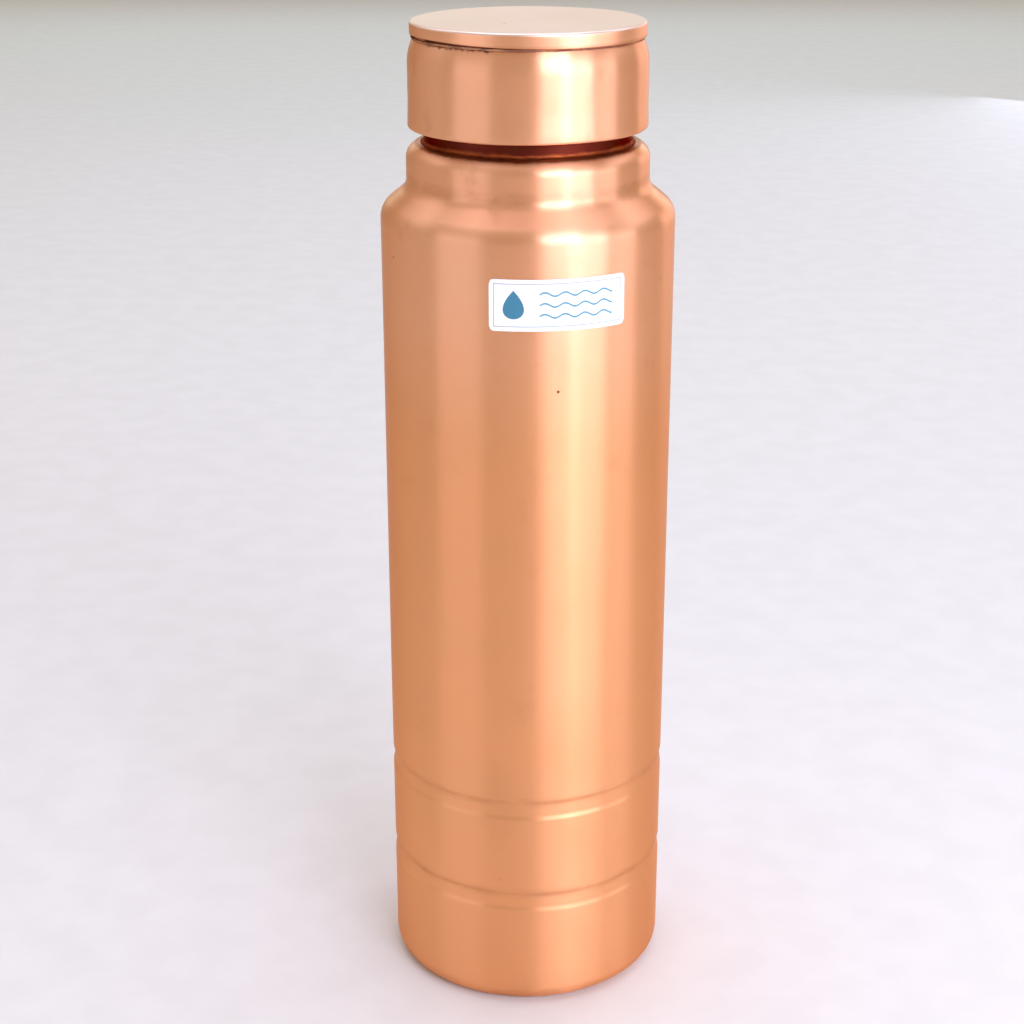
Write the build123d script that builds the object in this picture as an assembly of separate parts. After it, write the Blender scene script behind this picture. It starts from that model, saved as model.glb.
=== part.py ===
"""Copper water bottle with a screw cap, in millimetres.

The origin is the centre of the foot, +Z runs up the bottle's axis, and -Y is the front.
Almost every piece is pressed or spun from thin sheet, so each is drawn the way a sheet-metal
drawing gives it: the corners of one face, the bend radius at each corner, and the gauge.

The barrel, its shoulder and its collar are one drawn shell. The base plate is brazed inside
the shell's turned-in foot, and the threaded neck ring is brazed under the collar's top. The
cap is a skirt with a pressed cover soldered over its necked top, and a threaded cup that rests
on the skirt's bottom bead and is soldered there. A silicone washer seals the cup against the
neck ring's rim.
"""

import os
from math import cos, radians, sin, tan

from build123d import *

# Driving dimensions of the bottle
HEIGHT = 253.0
BARREL_R = 36.5
GAUGE = 0.6

FOOT_CORNER_R = 3.2
FOOT_LIP_R = 31.6

GROOVE_HEIGHTS = (31.3, 58.3)
GROOVE_WIDTH = 4.5
GROOVE_WALL = 1.2
GROOVE_DEPTH = 0.3
GROOVE_BEND_R = 2.0

SHOULDER_Z = 205.7
SHOULDER_SLOPE = 39.0
SHOULDER_BEND_R = 5.5
COLLAR_R = 29.95
COLLAR_FOOT_BEND_R = 4.8
COLLAR_BEND_Z = 220.4
COLLAR_BEND_R = 3.4
COLLAR_SLOPE = 42.0
COLLAR_TOP_Z = 224.0
COLLAR_TOP_BEND_R = 3.0

BASE_Z = 5.6
BASE_FLANGE_Z = 3.4
BASE_STEP_R = 26.0
BASE_STEP_HEIGHT = 1.0
BASE_BEND_R = 1.6

# Neck ring and screw thread
NECK_R = 25.4
NECK_WALL = 0.8
NECK_FLANGE_R = 26.5
NECK_RIM_Z = 241.8
NECK_RIM_BEAD_R = 0.8
THREAD_PITCH = 4.5
THREAD_HEIGHT = 1.0
THREAD_ROOT_WIDTH = 2.6
THREAD_CREST_WIDTH = 1.0
THREAD_ROOTING = 0.3
THREAD_FLANK_GAP = 0.35
THREAD_START_TURN = 35.0
NECK_THREAD_START_Z = 229.6
NECK_THREAD_TURNS = 2.1
CUP_THREAD_TURNS = 1.75

# Cap
CAP_R = 29.25
CAP_MOUTH_R = 29.5
CAP_MOUTH_FLARE_Z = 234.5
CAP_BOTTOM_Z = 227.8
CAP_BEAD_R = 0.6
CAP_FLARE_BEND_R = 30.0
CAP_SHOULDER_SLOPE = 25.6
CAP_SHOULDER_BEND_R = 13.0
CAP_NECK_R = 27.75
CAP_NECK_BEND_R = 0.8
CAP_NECK_Z = 249.1
CAP_NECK_TOP_Z = 251.9
CAP_NECK_LIP_R = 24.5
CAP_NECK_LIP_BEND_R = 0.9
COVER_R = 28.6
COVER_GAUGE = 0.7
COVER_RIM_Z = 249.5
COVER_EDGE_BEND_R = 1.05
COVER_RIM_ROUND_R = 0.42
CUP_BORE_R = 26.9
CUP_FLANGE_R = 28.8
CUP_FLANGE_Z = 229.0
CUP_CEILING_Z = 243.9
CUP_BEND_R = 0.9
WASHER_BORE_R = 22.6
WASHER_R = 26.1

# Joints between the pieces
BRAZE_GAP = 0.05
SEAT_GAP = 0.05
BASE_SOLDER_SPREAD = 50.0
BASE_SOLDER_HOLLOW_R = 3.0
NECK_FILLET = 0.9
CUP_FILLET = 0.9
FILLET_HOLLOW = 1.2
CAP_SOLDER_WIDTH = 0.5
CAP_SOLDER_FOOT_WIDTH = 0.12
CAP_SOLDER_HEIGHT = 0.5
LABEL_WIDTH = 33.5
LABEL_HEIGHT = 12.4
LABEL_THICKNESS = 0.12
LABEL_GLUE = 0.05
LABEL_CORNER_R = 1.2
LABEL_Z = 192.0
LABEL_TURN = 12.0


def sheet_ring(corners, bends, gauge, side):
    """Spins a bent strip of sheet about Z: corners are (radius, height), with a bend at each inner one."""
    with BuildSketch(Plane.XZ) as section:
        with BuildLine():
            FilletPolyline(*corners, radius=bends)
            offset(amount=gauge, side=side)
        make_face()
    return revolve(section.sketch, axis=Axis.Z)


def spin(section_edges):
    """Spins the closed section that these edges in the XZ plane bound."""
    with BuildSketch(Plane.XZ) as section:
        with BuildLine():
            for edge in section_edges:
                add(edge)
        make_face()
    return revolve(section.sketch, axis=Axis.Z)


def bead_ring(ring_r, z, bead_r):
    """A round ring of wire, such as a rolled edge."""
    return Pos(0, 0, z) * Torus(ring_r, bead_r)


def groove_corners(z):
    """One shallow rolled groove, from its lower edge to its upper edge."""
    half, wall = GROOVE_WIDTH / 2, GROOVE_WALL / 2
    floor_r = BARREL_R - GROOVE_DEPTH
    return [
        (BARREL_R, z - half - wall),
        (floor_r, z - half + wall),
        (floor_r, z + half - wall),
        (BARREL_R, z + half + wall),
    ]


def barrel_shell():
    """Drawn shell: turned-in foot, grooved barrel, shoulder, collar and the collar's flat top."""
    collar_foot_z = SHOULDER_Z + SHOULDER_BEND_R * tan(radians(90 - SHOULDER_SLOPE) / 2)
    slope_rise = (BARREL_R - COLLAR_R) * tan(radians(SHOULDER_SLOPE))
    collar_corner_z = COLLAR_BEND_Z + COLLAR_BEND_R * tan(radians(90 - COLLAR_SLOPE) / 2)
    top_corner_r = COLLAR_R - (COLLAR_TOP_Z - collar_corner_z) / tan(radians(COLLAR_SLOPE))
    grooves = [corner for z in GROOVE_HEIGHTS for corner in groove_corners(z)]
    corners = [
        (FOOT_LIP_R, 0),
        (BARREL_R, 0),
        *grooves,
        (BARREL_R, collar_foot_z),
        (COLLAR_R, collar_foot_z + slope_rise),
        (COLLAR_R, collar_corner_z),
        (top_corner_r, COLLAR_TOP_Z),
        (NECK_R + BRAZE_GAP, COLLAR_TOP_Z),
    ]
    bends = [
        FOOT_CORNER_R,
        *[GROOVE_BEND_R] * len(grooves),
        SHOULDER_BEND_R,
        COLLAR_FOOT_BEND_R,
        COLLAR_BEND_R,
        COLLAR_TOP_BEND_R,
    ]
    return sheet_ring(corners, bends, GAUGE, Side.LEFT)


def base_plate():
    """Pressed plate with a down-turned flange and a raised middle, set up inside the foot."""
    flange_r = BARREL_R - GAUGE - BRAZE_GAP
    corners = [
        (flange_r, BASE_FLANGE_Z),
        (flange_r, BASE_Z),
        (BASE_STEP_R + BASE_STEP_HEIGHT, BASE_Z),
        (BASE_STEP_R, BASE_Z + BASE_STEP_HEIGHT),
        (0, BASE_Z + BASE_STEP_HEIGHT),
    ]
    return sheet_ring(corners, [BASE_BEND_R, BASE_BEND_R, BASE_BEND_R], GAUGE, Side.LEFT)


def base_solder():
    """Solder run between the base plate's flange and the inside of the foot's corner."""
    wall_r = BARREL_R - GAUGE
    bend_r = FOOT_CORNER_R - GAUGE
    bend_centre_r = BARREL_R - FOOT_CORNER_R

    def on_bend(degrees_down):
        turn = radians(degrees_down)
        return bend_centre_r + bend_r * cos(turn), FOOT_CORNER_R - bend_r * sin(turn)

    flange_inner_r = wall_r - BRAZE_GAP - GAUGE
    start, middle, end = on_bend(0), on_bend(BASE_SOLDER_SPREAD / 2), on_bend(BASE_SOLDER_SPREAD)
    flange_foot = (flange_inner_r, BASE_FLANGE_Z)
    flange_edge = (wall_r, BASE_FLANGE_Z)
    return spin(
        [
            ThreePointArc(start, middle, end),
            RadiusArc(end, flange_foot, BASE_SOLDER_HOLLOW_R),
            Line(flange_foot, flange_edge),
            Line(flange_edge, start),
        ]
    )


def neck_ring():
    """Turned ring: a flange under the collar's top, a rolled rim and an outside thread."""
    flange_top_z = COLLAR_TOP_Z - GAUGE - BRAZE_GAP
    bore_r = NECK_R - NECK_WALL
    rim_z = NECK_RIM_Z - NECK_RIM_BEAD_R
    corners = [
        (bore_r, flange_top_z - NECK_WALL),
        (NECK_FLANGE_R, flange_top_z - NECK_WALL),
        (NECK_FLANGE_R, flange_top_z),
        (NECK_R, flange_top_z),
        (NECK_R, rim_z),
        (bore_r, rim_z),
    ]
    tube = spin([Polyline(*corners, close=True)])
    rim = bead_ring(NECK_R - NECK_RIM_BEAD_R, rim_z, NECK_RIM_BEAD_R)
    ridge = thread_ridge(NECK_R, THREAD_HEIGHT, NECK_THREAD_START_Z, NECK_THREAD_TURNS)
    return tube + rim + ridge


def thread_ridge(root_r, height, start_z, turns):
    """A right-hand ridge on a cylinder of radius root_r. A negative height makes it stand inwards."""
    path = Helix(THREAD_PITCH, THREAD_PITCH * turns, root_r, center=(0, 0, start_z))
    out = 1 if height > 0 else -1
    section_plane = Plane(origin=path @ 0, x_dir=(out, 0, 0), z_dir=path % 0)
    with BuildSketch(section_plane) as section:
        with BuildLine():
            Polyline(
                (-THREAD_ROOTING, -THREAD_ROOT_WIDTH / 2),
                (0, -THREAD_ROOT_WIDTH / 2),
                (abs(height), -THREAD_CREST_WIDTH / 2),
                (abs(height), THREAD_CREST_WIDTH / 2),
                (0, THREAD_ROOT_WIDTH / 2),
                (-THREAD_ROOTING, THREAD_ROOT_WIDTH / 2),
                close=True,
            )
        make_face()
    return Rot(0, 0, THREAD_START_TURN) * sweep(section.sketch, path=path, is_frenet=True)


def neck_solder():
    """Solder fillet in the corner between the collar's top and the neck ring."""
    foot = (NECK_R + NECK_FILLET, COLLAR_TOP_Z)
    head = (NECK_R, COLLAR_TOP_Z + NECK_FILLET)
    corner = (NECK_R, COLLAR_TOP_Z)
    return spin([Line(corner, foot), RadiusArc(foot, head, NECK_FILLET * FILLET_HOLLOW), Line(head, corner)])


def label():
    """Thin paper sticker, bent round the barrel."""
    inner_r = BARREL_R + LABEL_GLUE
    wall = Cylinder(inner_r + LABEL_THICKNESS, LABEL_HEIGHT) - Cylinder(inner_r, LABEL_HEIGHT)
    flat_width = 2 * inner_r * sin(LABEL_WIDTH / 2 / inner_r)
    outline = RectangleRounded(flat_width, LABEL_HEIGHT, LABEL_CORNER_R)
    sticker = wall & extrude(Plane.XZ * outline, 2 * BARREL_R)
    return Rot(0, 0, LABEL_TURN) * Pos(0, 0, LABEL_Z) * sticker


def cap_skirt():
    """Spun skirt with a rolled bottom bead and a necked top that the cover sits over."""
    bead_z = CAP_BOTTOM_Z + CAP_BEAD_R
    slope_run = (CAP_R - CAP_NECK_R) / tan(radians(CAP_SHOULDER_SLOPE))
    corners = [
        (CAP_MOUTH_R, bead_z),
        (CAP_R, CAP_MOUTH_FLARE_Z),
        (CAP_R, CAP_NECK_Z - slope_run),
        (CAP_NECK_R, CAP_NECK_Z),
        (CAP_NECK_R, CAP_NECK_TOP_Z),
        (CAP_NECK_LIP_R, CAP_NECK_TOP_Z),
    ]
    bends = [CAP_FLARE_BEND_R, CAP_SHOULDER_BEND_R, CAP_NECK_BEND_R, CAP_NECK_LIP_BEND_R]
    shell = sheet_ring(corners, bends, GAUGE, Side.LEFT)
    return shell + bead_ring(CAP_MOUTH_R - CAP_BEAD_R, bead_z, CAP_BEAD_R)


def cap_cover():
    """Pressed dish that closes the top of the cap, with its rim over the skirt's neck."""
    corners = [(COVER_R, COVER_RIM_Z), (COVER_R, HEIGHT), (0, HEIGHT)]
    dish = sheet_ring(corners, [COVER_EDGE_BEND_R], COVER_GAUGE, Side.LEFT)
    rim_edges = dish.edges().filter_by(GeomType.CIRCLE).group_by(Axis.Z)[0]
    return fillet(rim_edges.sort_by(SortBy.RADIUS)[-1], COVER_RIM_ROUND_R)


def cap_solder():
    """Solder run between the cover's rim and the skirt's shoulder."""
    neck_r = CAP_NECK_R + BRAZE_GAP
    top_z = COVER_RIM_Z - BRAZE_GAP
    outer = (neck_r + CAP_SOLDER_WIDTH, top_z)
    foot = (neck_r + CAP_SOLDER_FOOT_WIDTH, top_z - CAP_SOLDER_HEIGHT)
    return spin([Polyline((neck_r, top_z), outer, foot, close=True)])


def cup_solder():
    """Solder run on top of the thread cup's flange, against the inside of the skirt."""
    flange_top_z = CUP_FLANGE_Z + GAUGE
    bead_z = CAP_BOTTOM_Z + CAP_BEAD_R
    narrowing = (flange_top_z + CUP_FILLET - bead_z) / (CAP_MOUTH_FLARE_Z - bead_z)
    wall_r = CAP_MOUTH_R - (CAP_MOUTH_R - CAP_R) * narrowing - GAUGE - BRAZE_GAP
    corner = (wall_r, flange_top_z)
    foot = (wall_r - CUP_FILLET, flange_top_z)
    head = (wall_r, flange_top_z + CUP_FILLET)
    return spin([Line(corner, foot), RadiusArc(foot, head, CUP_FILLET * FILLET_HOLLOW), Line(head, corner)])


def cap_thread_cup():
    """Pressed cup with a ceiling, an inside thread and a flange that the skirt's bead holds."""
    corners = [
        (CUP_FLANGE_R, CUP_FLANGE_Z),
        (CUP_BORE_R, CUP_FLANGE_Z),
        (CUP_BORE_R, CUP_CEILING_Z),
        (0, CUP_CEILING_Z),
    ]
    cup = sheet_ring(corners, [CUP_BEND_R, CUP_BEND_R], GAUGE, Side.RIGHT)
    flank_slope = (THREAD_ROOT_WIDTH - THREAD_CREST_WIDTH) / 2 / THREAD_HEIGHT
    flank_reach = THREAD_ROOT_WIDTH - flank_slope * (CUP_BORE_R - NECK_R)
    start_z = NECK_THREAD_START_Z + THREAD_PITCH - flank_reach - THREAD_FLANK_GAP
    return cup + thread_ridge(CUP_BORE_R, -THREAD_HEIGHT, start_z, CUP_THREAD_TURNS)


def cap_washer():
    """Flat silicone washer between the neck ring's rim and the cup's ceiling."""
    low_z, high_z = NECK_RIM_Z + SEAT_GAP, CUP_CEILING_Z - SEAT_GAP
    blank = Cylinder(WASHER_R, high_z - low_z) - Cylinder(WASHER_BORE_R, high_z - low_z)
    return Pos(0, 0, (low_z + high_z) / 2) * blank


PIECES = {
    "barrel_shell": barrel_shell,
    "base_plate": base_plate,
    "base_solder": base_solder,
    "neck_ring": neck_ring,
    "neck_solder": neck_solder,
    "label": label,
    "cap_skirt": cap_skirt,
    "cap_cover": cap_cover,
    "cap_solder": cap_solder,
    "cap_thread_cup": cap_thread_cup,
    "cup_solder": cup_solder,
    "cap_washer": cap_washer,
}

if __name__ == "__main__":
    os.makedirs("parts", exist_ok=True)
    for name, make in PIECES.items():
        piece = make()
        piece.label = name
        export_step(piece, f"parts/{name}.step")
        box = piece.bounding_box()
        print(f"{name}: {piece.volume:.1f} mm3, z {box.min.Z:.2f} to {box.max.Z:.2f}, reach {box.max.X:.2f}")
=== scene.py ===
"""Copper water bottle: the looks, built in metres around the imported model.

Every piece of sheet copper is a closed lathe mesh: its outline is the drawing's corners and
bends, with the sheet's gauge inside it, and a small unevenness that differs round the axis, as
hand-finished sheet has. Only the foot's bend differs from the drawing's: it is rounder. The screw
threads are ridges that wind up those lathes.
"""

from math import ceil, cos, exp, hypot, pi, radians, sin, tan

import bmesh
import bpy
from mathutils import Matrix, Vector, noise


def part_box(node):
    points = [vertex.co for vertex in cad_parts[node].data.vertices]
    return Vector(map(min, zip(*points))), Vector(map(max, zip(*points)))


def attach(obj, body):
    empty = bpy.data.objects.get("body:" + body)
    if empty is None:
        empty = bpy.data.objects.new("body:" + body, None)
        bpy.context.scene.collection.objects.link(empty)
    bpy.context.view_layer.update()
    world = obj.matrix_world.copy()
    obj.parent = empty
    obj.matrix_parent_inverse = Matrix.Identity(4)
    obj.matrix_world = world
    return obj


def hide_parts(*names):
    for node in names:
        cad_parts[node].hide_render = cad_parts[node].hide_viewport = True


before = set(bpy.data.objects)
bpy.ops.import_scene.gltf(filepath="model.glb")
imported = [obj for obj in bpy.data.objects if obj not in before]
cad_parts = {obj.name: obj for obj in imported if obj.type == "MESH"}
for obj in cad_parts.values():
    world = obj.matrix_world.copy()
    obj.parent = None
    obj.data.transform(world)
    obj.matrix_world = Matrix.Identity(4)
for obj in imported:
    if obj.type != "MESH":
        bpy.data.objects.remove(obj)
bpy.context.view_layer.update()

MM = 0.001

# The bottle, from the frame
BARREL_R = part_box("barrel_shell")[1].x
COLLAR_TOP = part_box("barrel_shell")[1].z
CAP_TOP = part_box("cap_cover")[1].z
CAP_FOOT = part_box("cap_skirt")[0].z
COVER_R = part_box("cap_cover")[1].x
COVER_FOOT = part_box("cap_cover")[0].z
MOUTH_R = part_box("cap_skirt")[1].x
NECK_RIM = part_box("neck_ring")[1].z
WASHER_LOW, WASHER_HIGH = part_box("cap_washer")
CUP_LOW, CUP_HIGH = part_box("cap_thread_cup")
LABEL_LOW, LABEL_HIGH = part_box("label")

# How near counts as on the axis, and as on a face
ON_AXIS = 0.001 * MM
ON_FACE = 0.01 * MM

# Segments round the axis, more of them where an edge is ragged
BARREL_SEGMENTS = 248
BASE_SEGMENTS = 192
NECK_SEGMENTS = 240
SKIRT_SEGMENTS = 288
DISC_SEGMENTS = 256
CUP_SEGMENTS = 176
WASHER_SEGMENTS = 160
FILLET_SEGMENTS = 240
CUP_FILLET_SEGMENTS = 200
RAGGED_SEGMENTS = 360
SHARP_ANGLE = radians(40)

# Sheet and its bends. A worn raw edge bulges by EDGE_BULGE of the sheet's gauge
GAUGE = 0.6 * MM
EDGE_BULGE = 0.28
COVER_GAUGE = 0.7 * MM
FOOT_LIP_R = 31.6 * MM
FOOT_BEND = 4.7 * MM
SHOULDER_Z = 205.7 * MM
SHOULDER_SLOPE = radians(39)
SHOULDER_BEND = 5.5 * MM
COLLAR_R = 29.95 * MM
COLLAR_FOOT_BEND = 3.8 * MM
COLLAR_BEND_Z = 220.4 * MM
COLLAR_BEND = 3.4 * MM
COLLAR_SLOPE = radians(42)
COLLAR_TOP_BEND = 3.0 * MM
NECK_R = 25.4 * MM
NECK_WALL = 0.8 * MM
NECK_FLANGE_R = 26.5 * MM
NECK_FILLET = 0.9 * MM
BRAZE_GAP = 0.05 * MM

# The barrel is true up to TRUE_FOOT_Z, and its unevenness grows to full over TRUE_FOOT_FADE
TRUE_FOOT_Z = 4 * MM
TRUE_FOOT_FADE = 8 * MM

# Grooves rolled into the barrel
GROOVE_HEIGHTS = (31.3 * MM, 58.3 * MM)
GROOVE_WIDTH = 4.5 * MM
GROOVE_WALL = 1.6 * MM
GROOVE_DEPTH = 0.34 * MM
GROOVE_UNEVEN = 0.5
GROOVE_WANDER = 0.25 * MM
GROOVE_RING_STEP = 0.22 * MM

# Base plate
BASE_Z = 5.6 * MM
BASE_FLANGE_Z = 3.4 * MM
BASE_STEP_R = 26.0 * MM
BASE_STEP = 1.0 * MM
BASE_BEND = 1.6 * MM

# Screw thread
PITCH = 4.5 * MM
THREAD_HEIGHT = 1.0 * MM
THREAD_HALF = 1.3 * MM
THREAD_CREST_HALF = 0.45 * MM
THREAD_START_TURN = radians(35)
THREAD_FADE = 0.09
THREAD_RING_STEP = 0.16 * MM
NECK_THREAD_Z = 229.6 * MM
NECK_THREAD_TURNS = 2.1
CUP_THREAD_Z = 232.35 * MM
CUP_THREAD_TURNS = 1.75

# Cap
CAP_R = 29.25 * MM
CAP_FLARE_Z = 234.5 * MM
CAP_FLARE_BEND = 30.0 * MM
CAP_SHOULDER_SLOPE = radians(25.6)
CAP_SHOULDER_BEND = 13.0 * MM
CAP_NECK_R = 27.75 * MM
CAP_NECK_Z = 249.1 * MM
CAP_NECK_BEND = 0.8 * MM
CAP_NECK_TOP_Z = 251.9 * MM
CAP_NECK_LIP_R = 24.5 * MM
HEM_R = 0.6 * MM
HEM_HEIGHT = 1.2 * MM
HEM_STEP = 0.15 * MM
CAP_LIP_REACH = 9 * MM
CAP_LIP_DRAW = 0.10 * MM
COVER_EDGE_BEND = 0.75 * MM
COVER_RIM_HEIGHT = 2 * MM
RIM_LIFT = 0.7 * MM
RIM_LIFT_REACH = 2.5 * MM
RIM_LIFT_SPREAD = radians(42)
CUP_BORE_R = 26.9 * MM
CUP_BEND = 0.9 * MM
WASHER_BORE_R = 22.6 * MM
WASHER_ROUND = 0.35 * MM

# Sticker
LABEL_WIDTH = 33.5 * MM
LABEL_TURN = radians(12)
LABEL_INNER_R = BARREL_R + 0.05 * MM
LABEL_THICKNESS = 0.12 * MM
LABEL_CORNER = 1.2 * MM
LABEL_LIFT = 0.25 * MM
LABEL_LIFT_FROM = 0.9
LABEL_COLUMNS = 96
LABEL_ROWS = 24

# The sticker's print, in millimetres from its middle
PRINT_EDGE = 0.06
BORDER_INSET = 1.1
BORDER_HALF = 0.10
DROP_U = -11.0
DROP_FOOT_V = -3.3
DROP_HEIGHT = 6.9
DROP_WIDTH = 6.6
WAVE_HEIGHT = 0.45
WAVE_RATE = 1.30
WAVE_SPACING = 1.3
WAVES_U = 4.2
WAVES_HALF_LENGTH = 9.0
WAVES_HALF_HEIGHT = 3.2
WAVES_FADE = 0.2

# Sector under the cap's disc where the solder didn't take, as azimuths from the front towards +X
GAP_FROM = radians(-58)
GAP_TO = radians(-19)

# Dark nicks: azimuth from the front towards +X, radius, height
NICK_R = 0.5 * MM
BARREL_NICKS = ((radians(20), 28.4 * MM, 221.8 * MM), (radians(11.5), BARREL_R, 170.8 * MM))
DISC_NICKS = ((radians(-35), 9.8 * MM, CAP_TOP),)

# Polished copper: its cloudy tones, its tint at a grazing view, what has got onto it, and painted light:
# painted shade low on the barrel, in its grooves and corners, under the disc's rim and at the neck's foot,
# and a painted reflection on the disc's top
WARM = (0.91, 0.43, 0.225)
PALE = (0.94, 0.475, 0.265)
# Painted shade: a deeper, darker copper low on the barrel, standing in for the dimmer reflections there
LOW_BARREL_SHADE = (0.89, 0.385, 0.158)
# Painted reflection: the pale colour given to the disc's top
TOP_PAINTED_REFLECTION = (0.92, 0.80, 0.69)
EDGE_TINT = (0.80, 0.62, 0.50)
SMUDGE = (0.52, 0.20, 0.095)
PIT = (0.12, 0.05, 0.03)
NICK = (0.05, 0.02, 0.012)
# Tarnish and painted shade: a brown band painted at the grooves' upper edges, the foot's corner and the
# collar's foot
CORNER_SHADE_AND_TARNISH = (0.40, 0.15, 0.07)
# Painted shadow: the skirt darkened just under the disc's rim
RIM_SHADOW = (0.42, 0.15, 0.06)
# Darker colour towards the disc rim's lower edge
LOWER_RIM_DARK = (0.42, 0.16, 0.07)
# Burnt flux and painted shade: dark red where the joint under the disc is open
GAP_SHADE_AND_FLUX = (0.10, 0.018, 0.010)
# The painted shade low on the barrel fades in below the first height and is strongest below the second
LOW_SHADE_FROM_Z = 195 * MM
LOW_SHADE_TO_Z = 150 * MM
# Height of the painted shade and tarnish at the collar's foot
COLLAR_SHADE_Z = SHOULDER_Z + 10 * MM
PIT_CELL = 9 * MM
PIT_R = 0.42 * MM
PIT_SHARE = 0.22

# Copper that a torch has tinted, the metal that it melted, and the painted shade at the neck's foot under
# the cap: dark red, lighter red low down
UNPOLISHED = (0.70, 0.29, 0.15)
UNPOLISHED_DARK = (0.56, 0.19, 0.10)
HEAT_TINT = (0.25, 0.09, 0.10)
DARK_EDGE_TINT = (0.55, 0.30, 0.20)
BRAZE = (0.50, 0.25, 0.13)
BRAZE_DARK = (0.26, 0.11, 0.07)
# Painted shade at the neck's foot: deepest near the cap, lighter red at the collar's top
NECK_SHADE_DEEP = (0.090, 0.004, 0.002)
NECK_SHADE_LOW = (0.40, 0.085, 0.018)
NECK_SHADE_FULL_R = 27.3 * MM
NECK_SHADE_END_R = 28.3 * MM

# Washer and sticker
SILICONE = (0.80, 0.79, 0.75)
SILICONE_STAINED = (0.66, 0.58, 0.50)
SILICONE_DEPTH = (1.5 * MM, 1.4 * MM, 1.2 * MM)
PAPER = (0.88, 0.87, 0.85)
PAPER_STAINED = (0.80, 0.77, 0.72)
BORDER_INK = (0.30, 0.33, 0.35)
WAVE_INK = (0.10, 0.30, 0.36)
DROP_INK = (0.04, 0.19, 0.27)

# Camera and studio
LENS = 68.55
SENSOR_WIDTH = 36
CLIP_START = 10 * MM
CAMERA_AT = Vector((0.0, -0.4784, 0.3076))
CAMERA_PITCH = radians(20.70)
CAMERA_YAW = radians(0.48)
CAMERA_ROLL = radians(-0.07)
KEY_COLOUR = (0.93, 1.0, 1.4)
SKY_COLOUR = (0.64, 1.0, 1.27)
FLOOR_SIZE = 14.0
FLOOR_SINK = 0.2 * MM
FLOOR_TONES = ((0.72, 0.685, 0.62), (0.75, 0.715, 0.65))
WORLD_COLOUR = (1.0, 0.92, 0.84)
WORLD_STRENGTH = 0.58
SOFTBOX_AIM_Z = 0.13

# Soft lights: azimuth from the front towards +X and elevation, both in degrees, then distance, width and
# height in metres, watts and colour
SOFTBOXES = {
    "key": (25, 26, 0.9, 0.40, 0.36, 3.4, KEY_COLOUR),
    "key_low": (47, 14, 0.8, 0.42, 0.30, 2.2, KEY_COLOUR),
    "side": (78, 8, 1.5, 0.60, 0.60, 2.0, KEY_COLOUR),
    "fill": (-54, 7, 1.5, 1.00, 0.62, 1.7, KEY_COLOUR),
    "back_right": (145, 7, 1.5, 1.00, 0.62, 1.8, KEY_COLOUR),
    "back": (180, 14, 2.4, 2.00, 0.60, 4.5, SKY_COLOUR),
    "high_left": (-122, 38, 1.5, 1.20, 0.50, 1.0, KEY_COLOUR),
    "high_right": (122, 38, 1.5, 1.20, 0.50, 1.7, KEY_COLOUR),
    "top": (180, 76, 1.5, 1.80, 1.60, 11.0, KEY_COLOUR),
}


# ---------------------------------------------------------------- outlines


def bent_line(corners, bends, step=radians(7), longest=4 * MM):
    """The line through the corners of a section, rounded by a bend at each inner corner."""
    points = [Vector(corners[0])]
    for before, corner, after, bend in zip(corners, corners[1:], corners[2:], bends):
        points += bend_points(Vector(before), Vector(corner), Vector(after), bend, step)
    points.append(Vector(corners[-1]))
    return spaced(points, longest)


def bend_points(before, corner, after, bend, step):
    """The arc of radius bend that is tangent to both straight runs at a corner."""
    way_in = (corner - before).normalized()
    way_out = (after - corner).normalized()
    turn = way_in.angle_signed(way_out)
    reach = bend * tan(abs(turn) / 2)
    start = corner - way_in * reach
    side = Vector((way_in.y, -way_in.x)) * (1 if turn > 0 else -1)
    centre = start + side * bend
    count = max(2, ceil(abs(turn) / step))
    arm = start - centre
    return [centre + turned(arm, -turn * i / count) for i in range(count + 1)]


def arc(centre, radius, first, last, count):
    """Points of an arc from one angle to another, in degrees anticlockwise from outwards."""
    angles = [radians(first + (last - first) * i / count) for i in range(count + 1)]
    return [centre + radius * Vector((cos(t), sin(t))) for t in angles]


def turned(arm, angle):
    """A 2-D vector turned anticlockwise."""
    return Vector((arm.x * cos(angle) - arm.y * sin(angle), arm.x * sin(angle) + arm.y * cos(angle)))


def spaced(points, longest):
    """The same line with its long runs divided."""
    line = [points[0]]
    for start, end in zip(points, points[1:]):
        count = max(1, ceil((end - start).length / longest))
        line += [start.lerp(end, i / count) for i in range(1, count + 1)]
    return line


def line_normals(points):
    """The left-hand normal at each point of an open line."""
    normals = []
    for i in range(len(points)):
        along = points[min(i + 1, len(points) - 1)] - points[max(i - 1, 0)]
        normals.append(Vector((-along.y, along.x)).normalized())
    return normals


def back_face(line, gauge):
    """The sheet's other face: the line's parallel on its left."""
    return [point + normal * gauge for point, normal in zip(line, line_normals(line))]


def sheet_outline(line, gauge):
    """Closed outline of sheet with its face on the line, its gauge on the line's left, and worn edges."""
    back = back_face(line, gauge)
    last_edge = [] if line[-1].x < ON_AXIS else rounded_edge(line[-1], back[-1])
    return rounded_edge(back[0], line[0]) + line + last_edge + list(reversed(back))


def rounded_edge(start, end, count=5):
    """Points of a softly rounded raw edge from one face of the sheet to the other."""
    across = end - start
    outwards = Vector((across.y, -across.x))
    return [
        start + across * (i / count) + outwards * (EDGE_BULGE * sin(pi * i / count))
        for i in range(1, count)
    ]


# ---------------------------------------------------------------- meshes


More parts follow.
